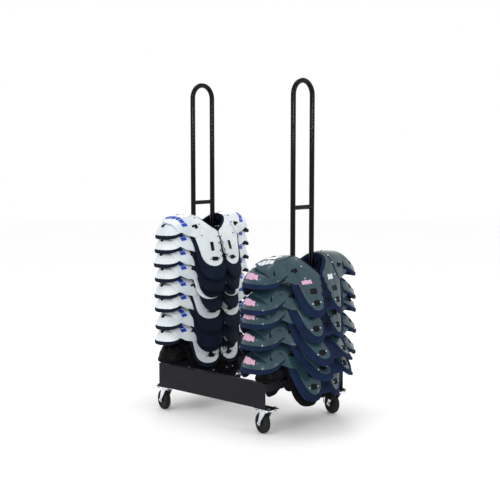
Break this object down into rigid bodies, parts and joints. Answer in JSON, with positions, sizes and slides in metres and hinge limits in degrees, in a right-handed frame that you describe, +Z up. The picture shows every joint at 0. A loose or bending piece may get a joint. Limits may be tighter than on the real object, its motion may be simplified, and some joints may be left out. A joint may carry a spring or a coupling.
{
  "type": "shoulder pad rack",
  "caption": "Rolling storage rack: a steel base on swivel casters with tall hoop posts, each holding a nested stack of football shoulder pads.",
  "frame": {"origin": "on the floor, under the middle of the loaded rack's own box; the centre of the base is at x = -0.039 m", "axes": "+Z up; +X along the base from the left post to the right post, the way every pad's chest faces; -Y out of the front side panel"},
  "size_m": [1.1156, 0.7451, 1.7019],
  "materials": {
    "rack_tube": "gloss",
    "rack_sheet": "satin",
    "zinc": "satin",
    "fastener": "satin",
    "tyre": "matte",
    "white_shell": "gloss",
    "grey_shell": "gloss",
    "black_shell": "satin",
    "dark_liner": "matte",
    "navy_liner": "matte",
    "black_liner": "matte",
    "trim": "matte",
    "lace": "matte",
    "webbing": "matte",
    "blue_graphic": "gloss",
    "pale_label": "gloss",
    "hardware": "satin"
  },
  "bodies": {
    "base": {"front_side_panel": "rack_sheet", "rear_side_panel": "rack_sheet", "left_end_channel": "rack_sheet", "right_end_channel": "rack_sheet", "corner_gussets": "rack_sheet", "caster_bolts": "fastener", "post_collars": "rack_tube", "left_post_tubes": "rack_tube", "left_post_crossbar": "rack_tube", "right_post_tubes": "rack_tube", "right_post_crossbar": "rack_tube", "caster_front_left_plate": "zinc", "caster_front_right_plate": "zinc", "caster_rear_left_plate": "zinc", "caster_rear_right_plate": "zinc"},
    "left_hoop": {"left_hoop": "rack_tube"},
    "right_hoop": {"right_hoop": "rack_tube"},
    "caster_front_left_swivel": {"caster_front_left_fork": "zinc", "caster_front_left_axle": "zinc"},
    "caster_front_left_wheel": {"caster_front_left_wheel": "tyre"},
    "caster_front_right_swivel": {"caster_front_right_fork": "zinc", "caster_front_right_axle": "zinc"},
    "caster_front_right_wheel": {"caster_front_right_wheel": "tyre"},
    "caster_rear_left_swivel": {"caster_rear_left_fork": "zinc", "caster_rear_left_axle": "zinc"},
    "caster_rear_left_wheel": {"caster_rear_left_wheel": "tyre"},
    "caster_rear_right_swivel": {"caster_rear_right_fork": "zinc", "caster_rear_right_axle": "zinc"},
    "caster_rear_right_wheel": {"caster_rear_right_wheel": "tyre"},
    "left_black_pad": {"left_black_pad_liner": "black_liner", "left_black_pad_shells": "black_shell"},
    "white_pad_8": {"white_pad_8_liner": "dark_liner", "white_pad_8_shells": "white_shell"},
    "white_pad_7": {"white_pad_7_liner": "dark_liner", "white_pad_7_shells": "white_shell"},
    "white_pad_6": {"white_pad_6_liner": "dark_liner", "white_pad_6_shells": "white_shell"},
    "white_pad_5": {"white_pad_5_liner": "dark_liner", "white_pad_5_shells": "white_shell"},
    "white_pad_4": {"white_pad_4_liner": "dark_liner", "white_pad_4_shells": "white_shell"},
    "white_pad_3": {"white_pad_3_liner": "dark_liner", "white_pad_3_shells": "white_shell"},
    "white_pad_2": {"white_pad_2_liner": "dark_liner", "white_pad_2_shells": "white_shell"},
    "white_pad_1": {"white_pad_1_liner": "dark_liner", "white_pad_1_shells": "white_shell"},
    "right_black_pad": {"right_black_pad_liner": "black_liner", "right_black_pad_shells": "black_shell"},
    "grey_pad_5": {"grey_pad_5_liner": "navy_liner", "grey_pad_5_shells": "grey_shell"},
    "grey_pad_4": {"grey_pad_4_liner": "navy_liner", "grey_pad_4_shells": "grey_shell"},
    "grey_pad_3": {"grey_pad_3_liner": "navy_liner", "grey_pad_3_shells": "grey_shell"},
    "grey_pad_2": {"grey_pad_2_liner": "navy_liner", "grey_pad_2_shells": "grey_shell"},
    "grey_pad_1": {"grey_pad_1_liner": "navy_liner", "grey_pad_1_shells": "grey_shell"}
  },
  "joints": [
    {"name": "left_hoop_lift", "type": "slide", "parent": "base", "child": "left_hoop", "axis": [0, 0, 1], "range_m": [0, 0.11]},
    {"name": "right_hoop_lift", "type": "slide", "parent": "base", "child": "right_hoop", "axis": [0, 0, 1], "range_m": [0, 0.11]},
    {"name": "caster_front_left_swivel", "type": "hinge", "parent": "base", "child": "caster_front_left_swivel", "pos_m": [-0.389, -0.266, 0.115], "axis": [0, 0, 1], "continuous": true},
    {"name": "caster_front_left_roll", "type": "hinge", "parent": "caster_front_left_swivel", "child": "caster_front_left_wheel", "pos_m": [-0.4196, -0.25664, 0.0508], "axis": [0.2924, 0.9563, 0], "continuous": true},
    {"name": "caster_front_right_swivel", "type": "hinge", "parent": "base", "child": "caster_front_right_swivel", "pos_m": [0.311, -0.266, 0.115], "axis": [0, 0, 1], "continuous": true},
    {"name": "caster_front_right_roll", "type": "hinge", "parent": "caster_front_right_swivel", "child": "caster_front_right_wheel", "pos_m": [0.2804, -0.25664, 0.0508], "axis": [0.2924, 0.9563, 0], "continuous": true},
    {"name": "caster_rear_left_swivel", "type": "hinge", "parent": "base", "child": "caster_rear_left_swivel", "pos_m": [-0.389, 0.266, 0.115], "axis": [0, 0, 1], "continuous": true},
    {"name": "caster_rear_left_roll", "type": "hinge", "parent": "caster_rear_left_swivel", "child": "caster_rear_left_wheel", "pos_m": [-0.4196, 0.27536, 0.0508], "axis": [0.2924, 0.9563, 0], "continuous": true},
    {"name": "caster_rear_right_swivel", "type": "hinge", "parent": "base", "child": "caster_rear_right_swivel", "pos_m": [0.311, 0.266, 0.115], "axis": [0, 0, 1], "continuous": true},
    {"name": "caster_rear_right_roll", "type": "hinge", "parent": "caster_rear_right_swivel", "child": "caster_rear_right_wheel", "pos_m": [0.2804, 0.27536, 0.0508], "axis": [0.2924, 0.9563, 0], "continuous": true},
    {"name": "left_black_pad_lift", "type": "slide", "parent": "base", "child": "left_black_pad", "axis": [0, 0, 1], "range_m": [0, 0.15]},
    {"name": "white_pad_8_lift", "type": "slide", "parent": "left_black_pad", "child": "white_pad_8", "axis": [0, 0, 1], "range_m": [0, 0.15]},
    {"name": "white_pad_7_lift", "type": "slide", "parent": "white_pad_8", "child": "white_pad_7", "axis": [0, 0, 1], "range_m": [0, 0.15]},
    {"name": "white_pad_6_lift", "type": "slide", "parent": "white_pad_7", "child": "white_pad_6", "axis": [0, 0, 1], "range_m": [0, 0.15]},
    {"name": "white_pad_5_lift", "type": "slide", "parent": "white_pad_6", "child": "white_pad_5", "axis": [0, 0, 1], "range_m": [0, 0.15]},
    {"name": "white_pad_4_lift", "type": "slide", "parent": "white_pad_5", "child": "white_pad_4", "axis": [0, 0, 1], "range_m": [0, 0.15]},
    {"name": "white_pad_3_lift", "type": "slide", "parent": "white_pad_4", "child": "white_pad_3", "axis": [0, 0, 1], "range_m": [0, 0.15]},
    {"name": "white_pad_2_lift", "type": "slide", "parent": "white_pad_3", "child": "white_pad_2", "axis": [0, 0, 1], "range_m": [0, 0.15]},
    {"name": "white_pad_1_lift", "type": "slide", "parent": "white_pad_2", "child": "white_pad_1", "axis": [0, 0, 1], "range_m": [0, 1]},
    {"name": "right_black_pad_lift", "type": "slide", "parent": "base", "child": "right_black_pad", "axis": [0, 0, 1], "range_m": [0, 0.15]},
    {"name": "grey_pad_5_lift", "type": "slide", "parent": "right_black_pad", "child": "grey_pad_5", "axis": [0, 0, 1], "range_m": [0, 0.15]},
    {"name": "grey_pad_4_lift", "type": "slide", "parent": "grey_pad_5", "child": "grey_pad_4", "axis": [0, 0, 1], "range_m": [0, 0.15]},
    {"name": "grey_pad_3_lift", "type": "slide", "parent": "grey_pad_4", "child": "grey_pad_3", "axis": [0, 0, 1], "range_m": [0, 0.15]},
    {"name": "grey_pad_2_lift", "type": "slide", "parent": "grey_pad_3", "child": "grey_pad_2", "axis": [0, 0, 1], "range_m": [0, 0.15]},
    {"name": "grey_pad_1_lift", "type": "slide", "parent": "grey_pad_2", "child": "grey_pad_1", "axis": [0, 0, 1], "range_m": [0, 1.15]}
  ]
}
